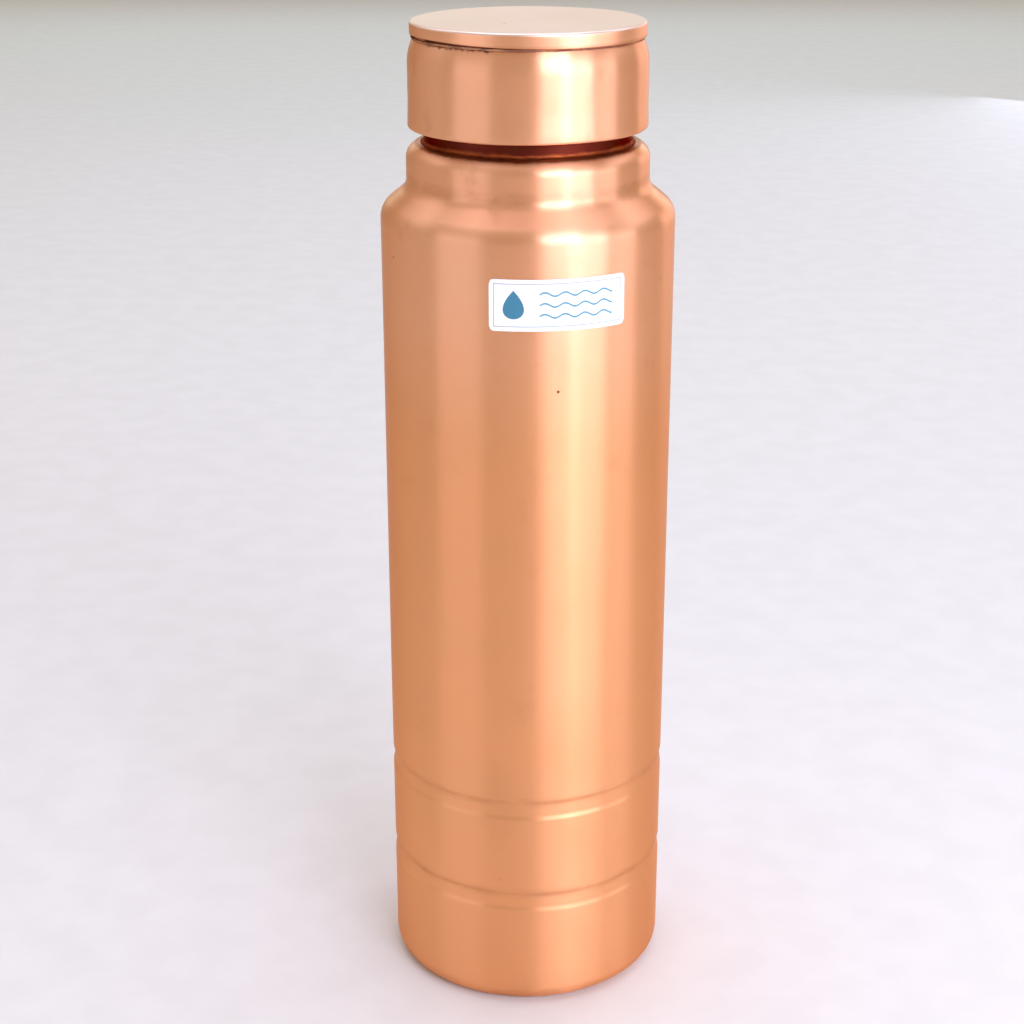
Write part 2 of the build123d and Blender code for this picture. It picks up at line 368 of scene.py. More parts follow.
def spin(name, outline, segments, uneven=None):
    """Closed lathe mesh of a closed outline of (radius, height) points, each moved a little by uneven."""
    vertices, rings = [], []
    for point in outline:
        if point.x < ON_AXIS:
            rings.append([len(vertices)] * segments)
            vertices.append((0.0, 0.0, point.y))
            continue
        rings.append(list(range(len(vertices), len(vertices) + segments)))
        for i in range(segments):
            turn = 2 * pi * i / segments
            r, z = (point.x, point.y) if uneven is None else uneven(point.x, point.y, turn)
            vertices.append((r * sin(turn), -r * cos(turn), z))
    faces = []
    for low, high in zip(rings, rings[1:] + rings[:1]):
        if low[0] == low[1] and high[0] == high[1]:
            continue
        for i in range(segments):
            j = (i + 1) % segments
            faces.append(list(dict.fromkeys([low[i], low[j], high[j], high[i]])))
    return mesh_object(name, vertices, faces)


def mesh_object(name, vertices, faces):
    mesh = bpy.data.meshes.new(name)
    mesh.from_pydata(vertices, [], faces)
    mesh.validate()
    mesh.shade_smooth()
    mesh.set_sharp_from_angle(angle=SHARP_ANGLE)
    piece = bpy.data.objects.new(name, mesh)
    bpy.context.scene.collection.objects.link(piece)
    fix_normals(mesh)
    return piece


def fix_normals(mesh):
    """Turns every face outwards."""
    work = bmesh.new()
    work.from_mesh(mesh)
    bmesh.ops.recalc_face_normals(work, faces=work.faces)
    work.to_mesh(mesh)
    work.free()


def place(piece, body, slot, material, *nodes):
    """Puts a finished piece on its body, in place of CAD nodes."""
    piece.data.materials.append(material)
    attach(piece, body)
    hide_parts(*nodes)
    return piece


def ripple(turn, z, across, up, seed):
    """Smooth noise from -1 to 1 on a cylinder: across waves round the axis, up waves per metre of height."""
    return noise.noise(Vector((across * sin(turn) + seed, across * cos(turn) - seed, z * up + 3 * seed)))


def held(value):
    """The value held between 0 and 1."""
    return min(1.0, max(0.0, value))


def eased(share):
    """The share from 0 to 1, eased at both ends."""
    return share * share * (3 - 2 * share)


def from_front(turn):
    """The same angle round the axis, between half a turn either side of the front."""
    return (turn + pi) % (2 * pi) - pi


# ---------------------------------------------------------------- bottle


def barrel_line():
    """Face of the drawn shell, from the foot's inner lip up to the neck, without its grooves."""
    foot_of_collar_z = SHOULDER_Z + SHOULDER_BEND * tan((pi / 2 - SHOULDER_SLOPE) / 2)
    head_of_slope_z = foot_of_collar_z + (BARREL_R - COLLAR_R) * tan(SHOULDER_SLOPE)
    collar_corner_z = COLLAR_BEND_Z + COLLAR_BEND * tan((pi / 2 - COLLAR_SLOPE) / 2)
    top_corner_r = COLLAR_R - (COLLAR_TOP - collar_corner_z) / tan(COLLAR_SLOPE)
    corners = [
        (FOOT_LIP_R, 0),
        (BARREL_R, 0),
        (BARREL_R, foot_of_collar_z),
        (COLLAR_R, head_of_slope_z),
        (COLLAR_R, collar_corner_z),
        (top_corner_r, COLLAR_TOP),
        (NECK_R + BRAZE_GAP + EDGE_BULGE * GAUGE, COLLAR_TOP),
    ]
    line = bent_line(corners, [FOOT_BEND, SHOULDER_BEND, COLLAR_FOOT_BEND, COLLAR_BEND, COLLAR_TOP_BEND])
    return with_groove_rings(line)


def with_groove_rings(line):
    """The same line with close rings across each groove, so that the groove's walls have their shape."""
    for z in GROOVE_HEIGHTS:
        reach = GROOVE_WIDTH / 2 + 2 * GROOVE_WALL
        low, high = z - reach, z + reach
        count = round((high - low) / GROOVE_RING_STEP)
        rings = [Vector((BARREL_R, low + (high - low) * i / count)) for i in range(count + 1)]
        line = [p for p in line if p.y < low] + rings + [p for p in line if p.y > high]
    return line


def groove_depth(z, turn):
    """How far the wall is rolled in at a height. The roller pressed unevenly round the axis."""
    depth = 0.0
    for i, groove_z in enumerate(GROOVE_HEIGHTS):
        wander = GROOVE_WANDER * ripple(turn, 0, across=1.3, up=0, seed=7 + i)
        from_wall = GROOVE_WIDTH / 2 - abs(z - groove_z - wander)
        pressed = 1 + GROOVE_UNEVEN * ripple(turn, 0, across=1.7, up=0, seed=20 + i)
        depth += GROOVE_DEPTH * pressed * eased(held(from_wall / GROOVE_WALL + 0.5))
    return depth


def barrel_uneven(r, z, turn):
    """Drawn sheet is never quite round: broad waves, and small flats left by planishing."""
    above_foot = held((z - TRUE_FOOT_Z) / TRUE_FOOT_FADE)
    broad = 0.09 * MM * ripple(turn, z, across=1.1, up=9, seed=1)
    small = 0.035 * MM * ripple(turn, z, across=3.4, up=34, seed=2)
    return r + above_foot * (broad + small) - groove_depth(z, turn), z


def barrel(material):
    outline = sheet_outline(barrel_line(), GAUGE)
    piece = spin("bottle_barrel", outline, BARREL_SEGMENTS, barrel_uneven)
    return place(piece, "bottle", "copper", material, "barrel_shell")


def base_plate(material):
    flange_r = BARREL_R - GAUGE - BRAZE_GAP
    corners = [
        (flange_r, BASE_FLANGE_Z),
        (flange_r, BASE_Z),
        (BASE_STEP_R + BASE_STEP, BASE_Z),
        (BASE_STEP_R, BASE_Z + BASE_STEP),
        (0, BASE_Z + BASE_STEP),
    ]
    line = bent_line(corners, [BASE_BEND] * 3)

    def pressed(r, z, turn):
        crown = 0.35 * MM * (1 - (r / BARREL_R) ** 2)
        return r, z + crown + 0.05 * MM * ripple(turn, r, across=1.5, up=60, seed=4)

    piece = spin("base_plate_pressed", sheet_outline(line, GAUGE), BASE_SEGMENTS, pressed)
    return place(piece, "bottle", "copper_inside", material, "base_plate")


def base_solder(material):
    """Run of solder in the foot's corner, with the beads that a torch leaves."""
    wall_r = BARREL_R - GAUGE
    bend_r = FOOT_BEND - GAUGE
    centre = Vector((BARREL_R - FOOT_BEND, FOOT_BEND))
    bend = arc(centre, bend_r, 0, -50, 10)
    flange = Vector((wall_r - BRAZE_GAP - GAUGE, BASE_FLANGE_Z))
    face = [bend[-1].lerp(flange, i / 6) for i in range(1, 6)]
    outline = bend + face + [flange, Vector((wall_r, BASE_FLANGE_Z))]

    def beaded(r, z, turn):
        on_face = hypot(r - centre.x, z - centre.y) < bend_r - 0.05 * MM and r < wall_r - 0.5 * MM
        bead = 0.22 * MM * ripple(turn, z, across=9, up=0, seed=5) if on_face else 0
        return r - bead, z

    piece = spin("base_solder_run", outline, FILLET_SEGMENTS, beaded)
    return place(piece, "bottle", "solder", material, "base_solder")


def thread_rise(turn, z, start_z, turns):
    """Share of the full ridge height at a place on the threaded wall, fading out at both ends."""
    rise = 0.0
    start = (turn - pi / 2 - THREAD_START_TURN) / (2 * pi) % 1.0
    for lap in range(ceil(turns) + 1):
        run = lap + start
        if run > turns:
            continue
        off = abs(z - start_z - PITCH * run)
        flank = (THREAD_HALF - off) / (THREAD_HALF - THREAD_CREST_HALF)
        fade = held(min(run, turns - run) / THREAD_FADE)
        rise = max(rise, eased(held(flank)) * fade)
    return rise


def neck_ring(material):
    """Mouth of the bottle: flange, threaded wall and a rolled rim."""
    bore_r = NECK_R - NECK_WALL
    flange_top = COLLAR_TOP - GAUGE - BRAZE_GAP
    flange_foot = flange_top - NECK_WALL
    bead_r = NECK_WALL
    bead = Vector((NECK_R - bead_r, NECK_RIM - bead_r))
    outside = spaced([Vector((NECK_R, flange_top)), Vector((NECK_R, bead.y))], THREAD_RING_STEP)
    rim = arc(bead, bead_r, 15, 255, 16)
    inside = spaced([Vector((bore_r, bead.y - 1.02 * bead_r)), Vector((bore_r, flange_foot))], 2 * MM)
    flange = [Vector((NECK_FLANGE_R, flange_foot)), Vector((NECK_FLANGE_R, flange_top))]

    def threaded(r, z, turn):
        if abs(r - NECK_R) > ON_FACE or z < COLLAR_TOP:
            return r, z
        return r + THREAD_HEIGHT * thread_rise(turn, z, NECK_THREAD_Z, NECK_THREAD_TURNS), z

    piece = spin("neck_ring_threaded", outside + rim + inside + flange, NECK_SEGMENTS, threaded)
    return place(piece, "bottle", "copper_inside", material, "neck_ring")


def neck_solder(material):
    """Fillet in the corner between the neck and the collar's top, with beads like the foot's."""
    corner = Vector((NECK_R, COLLAR_TOP))
    centre = corner + Vector((NECK_FILLET, NECK_FILLET))
    outline = [corner] + arc(centre, 0.92 * NECK_FILLET, 180, 270, 6)

    def beaded(r, z, turn):
        proud = r > NECK_R + 0.05 * MM and z > COLLAR_TOP + 0.05 * MM
        swell = 0.16 * MM * ripple(turn, z, across=7, up=0, seed=6) if proud else 0
        return r + swell, z + swell

    piece = spin("neck_solder_fillet", outline, FILLET_SEGMENTS, beaded)
    return place(piece, "bottle", "solder", material, "neck_solder")


def label_sticker(material):
    """Thin paper sticker on the barrel, its corners rounded and its edges lifting a little."""
    half_width = LABEL_WIDTH / 2
    half_height = (LABEL_HIGH.z - LABEL_LOW.z) / 2
    middle_z = (LABEL_HIGH.z + LABEL_LOW.z) / 2
    front, back = [], []
    for i in range(LABEL_COLUMNS + 1):
        along = -half_width + 2 * half_width * i / LABEL_COLUMNS
        into_corner = max(0.0, abs(along) - (half_width - LABEL_CORNER))
        drop = LABEL_CORNER - (LABEL_CORNER ** 2 - into_corner ** 2) ** 0.5
        reach = half_height - drop
        for j in range(LABEL_ROWS + 1):
            up = -reach + 2 * reach * j / LABEL_ROWS
            edge = max(abs(along) / half_width, abs(up) / half_height)
            curl = max(0.0, (edge - LABEL_LIFT_FROM) / (1 - LABEL_LIFT_FROM)) ** 2
            wavy = 0.5 + 0.5 * ripple(along * 90, up, across=1, up=90, seed=8)
            turn = LABEL_TURN + along / LABEL_INNER_R
            r = LABEL_INNER_R + LABEL_LIFT * curl * wavy
            for layer, face_r in ((back, r), (front, r + LABEL_THICKNESS)):
                layer.append((face_r * sin(turn), -face_r * cos(turn), middle_z + up))
    piece = mesh_object("label_sticker", front + back, grid_faces(LABEL_COLUMNS, LABEL_ROWS))
    return place(piece, "bottle", "paper", material, "label")


def grid_faces(columns, rows):
    """Faces of a thin sheet: a grid for its front, the same grid for its back, and a strip round them."""
    column = rows + 1
    offset = (columns + 1) * column
    faces = []
    for i in range(columns):
        for j in range(rows):
            a = i * column + j
            b, c, d = a + column, a + column + 1, a + 1
            faces.append((a, b, c, d))
            faces.append((offset + a, offset + d, offset + c, offset + b))
    border = list(range(column))
    border += [i * column + rows for i in range(1, columns + 1)]
    border += [columns * column + j for j in range(rows - 1, -1, -1)]
    border += [i * column for i in range(columns - 1, 0, -1)]
    for a, b in zip(border, border[1:] + border[:1]):
        faces.append((a, b, offset + b, offset + a))
    return faces


# ---------------------------------------------------------------- cap


def cap_skirt(material):
    """Spun sleeve: a folded hem at the bottom, a straight wall, a soft shoulder and a necked top."""
    hem_z = CAP_FOOT + HEM_R
    slope_run = (CAP_R - CAP_NECK_R) / tan(CAP_SHOULDER_SLOPE)
    corners = [
        (MOUTH_R, hem_z),
        (CAP_R, CAP_FLARE_Z),
        (CAP_R, CAP_NECK_Z - slope_run),
        (CAP_NECK_R, CAP_NECK_Z),
        (CAP_NECK_R, CAP_NECK_TOP_Z),
        (CAP_NECK_LIP_R, CAP_NECK_TOP_Z),
    ]
    bends = [CAP_FLARE_BEND, CAP_SHOULDER_BEND, CAP_NECK_BEND, CAP_NECK_BEND]
    line = bent_line(corners, bends, step=radians(3), longest=2 * MM)
    back = back_face(line, GAUGE)
    hem = arc(Vector((MOUTH_R - HEM_R, hem_z)), HEM_R, -180, -15, 11)
    hem_head = Vector((MOUTH_R - 2 * HEM_R, CAP_FOOT + HEM_HEIGHT))
    inner_face = [p for p in reversed(back) if p.y > hem_head.y + HEM_STEP]
    hem_step = Vector((inner_face[-1].x, hem_head.y))
    outline = line + rounded_edge(line[-1], back[-1]) + inner_face + [hem_step, hem_head] + hem

    def uneven(r, z, turn):
        low = max(0.0, 1 - (z - CAP_FOOT) / CAP_LIP_REACH)
        broad = 0.07 * MM * ripple(turn, z, across=1.2, up=14, seed=11)
        lip = 0.10 * MM * low * ripple(turn, 0, across=2.3, up=0, seed=12)
        drop = 0.12 * MM * low * ripple(turn, 0, across=1.6, up=0, seed=13)
        return r + broad + lip - CAP_LIP_DRAW * low, z + max(drop, -0.05 * MM) * low

    piece = spin("cap_skirt_spun", outline, SKIRT_SEGMENTS, uneven)
    return place(piece, "cap", "copper", material, "cap_skirt")


def cap_cover(material):
    """Pressed disc with a turned-down rim, crisp at its upper edge and rounded at its lower one."""
    corners = [(COVER_R, COVER_FOOT), (COVER_R, CAP_TOP), (0, CAP_TOP)]
    line = bent_line(corners, [COVER_EDGE_BEND], step=radians(6), longest=1.2 * MM)
    outline = sheet_outline(line, COVER_GAUGE)

    def pressed(r, z, turn):
        share = 1 - r / COVER_R
        top = z > COVER_FOOT + COVER_RIM_HEIGHT
        sag = -0.12 * MM * share * share if top else 0
        wave = 0.045 * MM * ripple(turn, r, across=1.4 * r / COVER_R, up=50, seed=14) if top else 0
        rim = 0.05 * MM * ripple(turn, z, across=2.2, up=0, seed=15) * (1 - share) ** 6
        from_lift = (from_front(turn) - GAP_FROM) / RIM_LIFT_SPREAD
        near_rim = max(0.0, 1 - (z - COVER_FOOT) / RIM_LIFT_REACH)
        lifted = RIM_LIFT * exp(-from_lift ** 2) * near_rim
        return r + rim, z + sag + min(wave, 0.02 * MM) + lifted

    piece = spin("cap_disc", outline, DISC_SEGMENTS, pressed)
    return place(piece, "cap", "copper", material, "cap_cover")


def cap_solder(material):
    """Solder under the disc's rim. It is ragged and drawn back where the joint didn't fill."""
    low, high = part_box("cap_solder")
    inner_r = CAP_NECK_R + 0.3 * BRAZE_GAP
    section = [(inner_r, low.z), (inner_r, high.z), (high.x, high.z), (high.x - 0.15 * MM, low.z)]
    outline = spaced([Vector(p) for p in section], 0.2 * MM)

    def ragged(r, z, turn):
        share = (r - inner_r) / (high.x - inner_r)
        azimuth = from_front(turn)
        into_gap = min(azimuth - GAP_FROM, GAP_TO - azimuth) / radians(7)
        gap = held(into_gap + 0.6 * ripple(turn, 0, across=9, up=0, seed=16))
        lump = 0.5 + 0.5 * ripple(turn, z, across=12, up=900, seed=17)
        keep = 1 - gap * (0.75 + 0.25 * lump)
        run_r = inner_r + (r - inner_r) * keep
        return run_r + share * 0.10 * MM * (lump - 0.5), z - 0.12 * MM * share * lump

    piece = spin("cap_solder_run", outline, RAGGED_SEGMENTS, ragged)
    return place(piece, "cap", "solder", material, "cap_solder")


def cap_thread_cup(material):
    """Inner cup: flange, threaded wall and ceiling."""
    ceiling = CUP_HIGH.z - GAUGE
    rim_r = CUP_HIGH.x - EDGE_BULGE * GAUGE
    corners = [(rim_r, CUP_LOW.z), (CUP_BORE_R, CUP_LOW.z), (CUP_BORE_R, ceiling), (0, ceiling)]
    line = bent_line(corners, [CUP_BEND] * 2, longest=THREAD_RING_STEP)
    back = back_face(line, -GAUGE)
    outline = line + list(reversed(back)) + list(reversed(rounded_edge(line[0], back[0])))

    def threaded(r, z, turn):
        if abs(r - CUP_BORE_R) > ON_FACE:
            return r, z
        return r - THREAD_HEIGHT * thread_rise(turn, z, CUP_THREAD_Z, CUP_THREAD_TURNS), z

    piece = spin("cap_thread_cup_pressed", outline, CUP_SEGMENTS, threaded)
    return place(piece, "cap", "copper_inside", material, "cap_thread_cup")


def cup_solder(material):
    """Fillet that ties the cup's flange to the skirt."""
    low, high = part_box("cup_solder")
    size = high.z - low.z
    corner = Vector((high.x, low.z))
    centre = corner + Vector((-size, size))
    piece = spin("cup_solder_fillet", [corner] + arc(centre, 0.9 * size, 0, -90, 6), CUP_FILLET_SEGMENTS)
    return place(piece, "cap", "solder", material, "cup_solder")


def washer(material):
    """Silicone washer with soft corners and a compression line from the neck's rim."""
    r, low, high = WASHER_HIGH.x, WASHER_LOW.z, WASHER_HIGH.z
    middle = (r, (low + high) / 2)
    corners = [middle, (r, high), (WASHER_BORE_R, high), (WASHER_BORE_R, low), (r, low), middle]
    outline = bent_line(corners, [WASHER_ROUND] * 4, step=radians(18), longest=0.5 * MM)[:-1]

    def pressed(radius, z, turn):
        in_line = exp(-((radius - NECK_R + NECK_WALL) / (0.7 * MM)) ** 2)
        dent = 0.10 * MM * in_line if z < low + 0.2 * MM else 0
        return radius, z + dent

    piece = spin("washer_silicone", outline, WASHER_SEGMENTS, pressed)
    return place(piece, "washer", "silicone", material, "cap_washer")


# ---------------------------------------------------------------- materials


class Nodes:
    """Short names for building a material's nodes."""

    def __init__(self, name):
        self.material = bpy.data.materials.new(name)
        self.material.use_nodes = True
        self.tree = self.material.node_tree
        self.shader = self.tree.nodes["Principled BSDF"]
        place_in_metres = self.add("ShaderNodeTexCoord").outputs["Object"]
        apart = self.add("ShaderNodeSeparateXYZ")
        self.link(place_in_metres, apart.inputs[0])
        self.place = place_in_metres
        self.x, self.y, self.z = apart.outputs
        squares = self.math("ADD", self.math("POWER", self.x, 2), self.math("POWER", self.y, 2))
        self.r = self.math("SQRT", squares)

    def add(self, kind, **settings):
        node = self.tree.nodes.new(kind)
        for key, value in settings.items():
            setattr(node, key, value)
        return node

    def link(self, source, target):
        self.tree.links.new(source, target)

    def feed(self, socket, value):
        """Links another node's socket, or sets a plain value. A colour gets an alpha of 1."""
        if isinstance(value, bpy.types.NodeSocket):
            self.link(value, socket)
        elif socket.type == "RGBA":
            socket.default_value = (*value, 1.0)
        else:
            socket.default_value = value

    def math(self, operation, *values):
        node = self.add("ShaderNodeMath", operation=operation)
        for socket, value in zip(node.inputs, values):
            self.feed(socket, value)
        return node.outputs[0]

    def vector(self, x, y, z):
        node = self.add("ShaderNodeCombineXYZ")
        for socket, value in zip(node.inputs, (x, y, z)):
            self.feed(socket, value)
        return node.outputs[0]

    def noise(self, where, scale=1.0, detail=3.0, rough=0.5):
        node = self.add("ShaderNodeTexNoise")
        self.feed(node.inputs["Vector"], where)
        node.inputs["Scale"].default_value = scale
        node.inputs["Detail"].default_value = detail
        node.inputs["Roughness"].default_value = rough
        return node.outputs["Fac"]

    def ramp(self, value, low, high, out_low=0.0, out_high=1.0):
        node = self.add("ShaderNodeMapRange", interpolation_type="SMOOTHSTEP")
        for socket, number in zip(node.inputs, (value, low, high, out_low, out_high)):
            self.feed(socket, number)
        return node.outputs[0]

    def mix(self, share, first, second):
        node = self.add("ShaderNodeMix", data_type="RGBA")
        self.feed(node.inputs[0], share)
        self.feed(node.inputs[6], first)
        self.feed(node.inputs[7], second)
        return node.outputs[2]

    def bump(self, height, depth, normal=None):
        node = self.add("ShaderNodeBump")
        node.inputs["Distance"].default_value = depth
        self.feed(node.inputs["Height"], height)
        if normal is not None:
            self.link(normal, node.inputs["Normal"])
        return node.outputs[0]

    def band(self, value, centre, half, soft):
        """1 within half of centre, falling to 0 over soft."""
        return self.ramp(self.math("ABSOLUTE", self.math("SUBTRACT", value, centre)), half + soft, half)

    def around(self, across, along):
        """Place on a turned part: slow round the axis, quick along the outline, for marks that run round."""
        slant = self.math("SUBTRACT", self.z, self.math("MULTIPLY", self.r, 0.6))
        outline = self.math("MULTIPLY", slant, along)
        x = self.math("MULTIPLY", self.math("DIVIDE", self.x, self.r), across)
        y = self.math("MULTIPLY", self.math("DIVIDE", self.y, self.r), across)
        return self.vector(x, y, outline)

    def azimuth(self):
        """Angle from the front, positive towards +X."""
        return self.math("ARCTAN2", self.x, self.math("MULTIPLY", self.y, -1))

    def set(self, **inputs):
        for name, value in inputs.items():
            self.feed(self.shader.inputs[name.replace("_", " ")], value)

    def round_tangent(self):
        tangent = self.add("ShaderNodeTangent", direction_type="RADIAL", axis="Z")
        self.link(tangent.outputs[0], self.shader.inputs["Tangent"])


def specks(n, cell, radius, share):
    """Sparse dark pits: a share of the cells of a 3-D pattern has one small dot."""
    node = n.add("ShaderNodeTexVoronoi")
    n.link(n.place, node.inputs["Vector"])
    node.inputs["Scale"].default_value = 1 / cell
    chosen = n.ramp(node.outputs["Color"], share + 0.02, share)
    return n.math("MULTIPLY", n.ramp(node.outputs["Distance"], radius / cell, 0.4 * radius / cell), chosen)


def nick(n, colour, turn, radius, z):
    """One small dark nick, at an angle from the front towards +X, a radius and a height."""
    away = n.add("ShaderNodeVectorMath", operation="DISTANCE")
    n.link(n.place, away.inputs[0])
    away.inputs[1].default_value = (radius * sin(turn), -radius * cos(turn), z)
    mark = n.ramp(away.outputs["Value"], NICK_R, 0.4 * NICK_R)
    return n.mix(n.math("MULTIPLY", mark, 0.95), colour, NICK)


def satin_copper(name, marks_and_painted_light, anisotropy):
    """Copper polished round its axis on a lathe: fine turning lines, cloudy tone, pits and rubbed marks."""
    n = Nodes(name)
    fine = n.noise(n.around(across=1.4, along=3200), detail=4, rough=0.7)
    coarse = n.noise(n.around(across=2.2, along=620), detail=2)
    cloud = n.noise(n.place, scale=34, detail=4, rough=0.6)
    smudge = n.noise(n.place, scale=95, detail=5, rough=0.65)
    tone = n.math("ADD", n.math("MULTIPLY", cloud, 0.9), n.math("MULTIPLY", coarse, 0.1))
    colour = n.mix(n.ramp(tone, 0.30, 0.70), WARM, PALE)
    colour = n.mix(n.math("MULTIPLY", n.ramp(smudge, 0.60, 0.74), 0.16), colour, SMUDGE)
    pits = specks(n, PIT_CELL, PIT_R, PIT_SHARE)
    colour = n.mix(n.math("MULTIPLY", pits, 0.75), colour, PIT)
    # Marks on the piece, with the painted shade and painted reflection given for it
    colour = marks_and_painted_light(n, colour)
    roughness = n.math("ADD", n.ramp(cloud, 0.3, 0.7, 0.31, 0.37), n.math("MULTIPLY", fine, 0.04))
    roughness = n.math("ADD", roughness, n.math("MULTIPLY", n.ramp(smudge, 0.55, 0.75), 0.06))
    lines = n.bump(fine, 0.002 * MM, n.bump(coarse, 0.0012 * MM))
    n.set(Base_Color=colour, Roughness=roughness, Metallic=1.0, Normal=n.bump(smudge, 0.004 * MM, lines))
    n.set(Anisotropic=anisotropy, Anisotropic_Rotation=0.25, Specular_Tint=EDGE_TINT)
    n.round_tangent()
    return n.material


def painted_neck_shade(n, colour):
    """Painted shade at the foot of the neck, under the cap: dark red, deepest near the cap and lighter red
    down at the collar's top.
    """
    ragged = n.math("MULTIPLY", n.math("SUBTRACT", n.noise(n.place, scale=260, detail=3), 0.5), 1.6 * MM)
    radius = n.math("ADD", n.r, ragged)
    near = n.ramp(radius, NECK_SHADE_END_R, NECK_SHADE_FULL_R)
    neck_shade = n.math("MULTIPLY", near, n.band(n.z, COLLAR_TOP, 3.5 * MM, 2.0 * MM))
    outer = n.ramp(n.math("ADD", n.z, ragged), COLLAR_TOP + 1.3 * MM, COLLAR_TOP + 0.1 * MM)
    painted_dark = n.mix(outer, NECK_SHADE_DEEP, NECK_SHADE_LOW)
    return n.mix(n.math("MULTIPLY", neck_shade, 0.94), colour, painted_dark)


def barrel_marks_and_shade(n, colour):
    """Painted shade low on the barrel as a deeper, darker copper; tarnish and painted shade at the grooves'
    upper edges, the foot's corner and the collar's foot; dark nicks; and the painted shade at the neck's
    foot.
    """
    # Painted shade: deeper, darker copper towards the bottom of the barrel
    colour = n.mix(n.ramp(n.z, LOW_SHADE_FROM_Z, LOW_SHADE_TO_Z, 0.0, 0.75), colour, LOW_BARREL_SHADE)
    # Painted shade with tarnish: a mottled brown band along each groove's upper edge, the foot's corner and
    # the collar's foot
    stain = n.ramp(n.noise(n.around(across=3.5, along=260), detail=4), 0.35, 0.68)
    shade_places = n.band(n.z, 2.0 * MM, 1.0 * MM, 2.5 * MM)
    for z in GROOVE_HEIGHTS:
        shade_places = n.math("MAXIMUM", shade_places, n.band(n.z, z + GROOVE_WIDTH / 2, 0.3 * MM, 2.0 * MM))
    shade_places = n.math("MAXIMUM", shade_places, n.band(n.z, COLLAR_SHADE_Z, 0.6 * MM, 1.6 * MM))
    colour = n.mix(n.math("MULTIPLY", n.math("MULTIPLY", shade_places, stain), 0.22), colour, CORNER_SHADE_AND_TARNISH)
    for where in BARREL_NICKS:
        colour = nick(n, colour, *where)
    # Painted shade at the neck's foot, on the collar's top
    return painted_neck_shade(n, colour)


def cap_flux_and_shade(n, colour):
    """Painted shadow on the skirt under the disc's rim, and burnt flux with painted shade below the rim
    where the solder didn't take.
    """
    rough_edge = n.noise(n.place, scale=900, detail=3)
    height = n.math("ADD", n.z, n.math("MULTIPLY", n.math("SUBTRACT", rough_edge, 0.5), 1.6 * MM))
    # Burnt flux and painted shade in the open gap's sector
    in_gap = n.band(n.azimuth(), (GAP_FROM + GAP_TO) / 2, (GAP_TO - GAP_FROM) / 2, radians(5))
    painted_dark = n.math("MULTIPLY", n.ramp(height, COVER_FOOT - 1.2 * MM, COVER_FOOT - 0.5 * MM), in_gap)
    # Painted shadow on the skirt just under the disc's rim, darkest next to it
    rim_shadow = n.ramp(height, COVER_FOOT - 0.8 * MM, COVER_FOOT - 0.3 * MM, 0.0, 0.5)
    colour = n.mix(rim_shadow, colour, RIM_SHADOW)
    return n.mix(n.math("MULTIPLY", painted_dark, 0.92), colour, GAP_SHADE_AND_FLUX)


def disc_marks_and_sheen(n, colour):
    """The disc's rim is darker towards its lower edge, its top is painted pale as a painted reflection, and
    it has a dark nick.
    """
    # Darker towards the rim's lower edge
    lower = n.ramp(n.z, COVER_FOOT + 0.9 * MM, COVER_FOOT + 0.1 * MM)
    colour = n.mix(n.math("MULTIPLY", lower, 0.35), colour, LOWER_RIM_DARK)
    # Painted reflection: the disc's top painted pale
    top = n.ramp(n.z, CAP_TOP - 0.75 * MM, CAP_TOP - 0.25 * MM)
    colour = n.mix(n.math("MULTIPLY", top, 0.85), colour, TOP_PAINTED_REFLECTION)
    for where in DISC_NICKS:
        colour = nick(n, colour, *where)
    return colour


def inner_copper():
    """Unpolished copper: redder, duller and tinted by the brazing torch."""
    n = Nodes("copper_unpolished")
    fine = n.noise(n.around(across=1.2, along=1500), detail=4, rough=0.7)
    heat = n.noise(n.place, scale=120, detail=4)
    colour = n.mix(n.ramp(heat, 0.35, 0.65), UNPOLISHED, UNPOLISHED_DARK)
    colour = n.mix(n.math("MULTIPLY", n.ramp(heat, 0.62, 0.75), 0.4), colour, HEAT_TINT)
    # Where the neck meets the collar, painted shade
    n.set(Base_Color=painted_neck_shade(n, colour), Metallic=1.0, Roughness=n.ramp(fine, 0.3, 0.7, 0.32, 0.46))
    n.set(Normal=n.bump(fine, 0.012 * MM, n.bump(heat, 0.03 * MM)), Specular_Tint=DARK_EDGE_TINT)
    n.set(Anisotropic=0.5, Anisotropic_Rotation=0.25)
    n.round_tangent()
    return n.material


def solder():
    """Brazing metal that has run and set, brownish and pitted."""
    n = Nodes("braze_metal")
    lumps = n.noise(n.place, scale=700, detail=4, rough=0.6)
    burn = n.noise(n.place, scale=210, detail=3)
    colour = n.mix(n.ramp(burn, 0.4, 0.65), BRAZE, BRAZE_DARK)
    # Where it meets the neck's foot, painted shade
    n.set(Base_Color=painted_neck_shade(n, colour), Metallic=0.9, Roughness=n.ramp(lumps, 0.3, 0.7, 0.38, 0.62))
    n.set(Normal=n.bump(lumps, 0.15 * MM), Specular_Tint=DARK_EDGE_TINT)
    return n.material


def silicone():
    """Off-white silicone, a little stained in use."""
    n = Nodes("silicone_seal")
    grain = n.noise(n.place, scale=1600, detail=2)
    stain = n.noise(n.around(across=3, along=300), detail=3)
    colour = n.mix(n.math("MULTIPLY", n.ramp(stain, 0.45, 0.7), 0.3), SILICONE, SILICONE_STAINED)
    n.set(Base_Color=colour, Roughness=n.ramp(grain, 0.3, 0.7, 0.42, 0.55), Normal=n.bump(grain, 0.02 * MM))
    n.set(Subsurface_Weight=0.25, Subsurface_Radius=SILICONE_DEPTH, Subsurface_Scale=1.0)
    return n.material


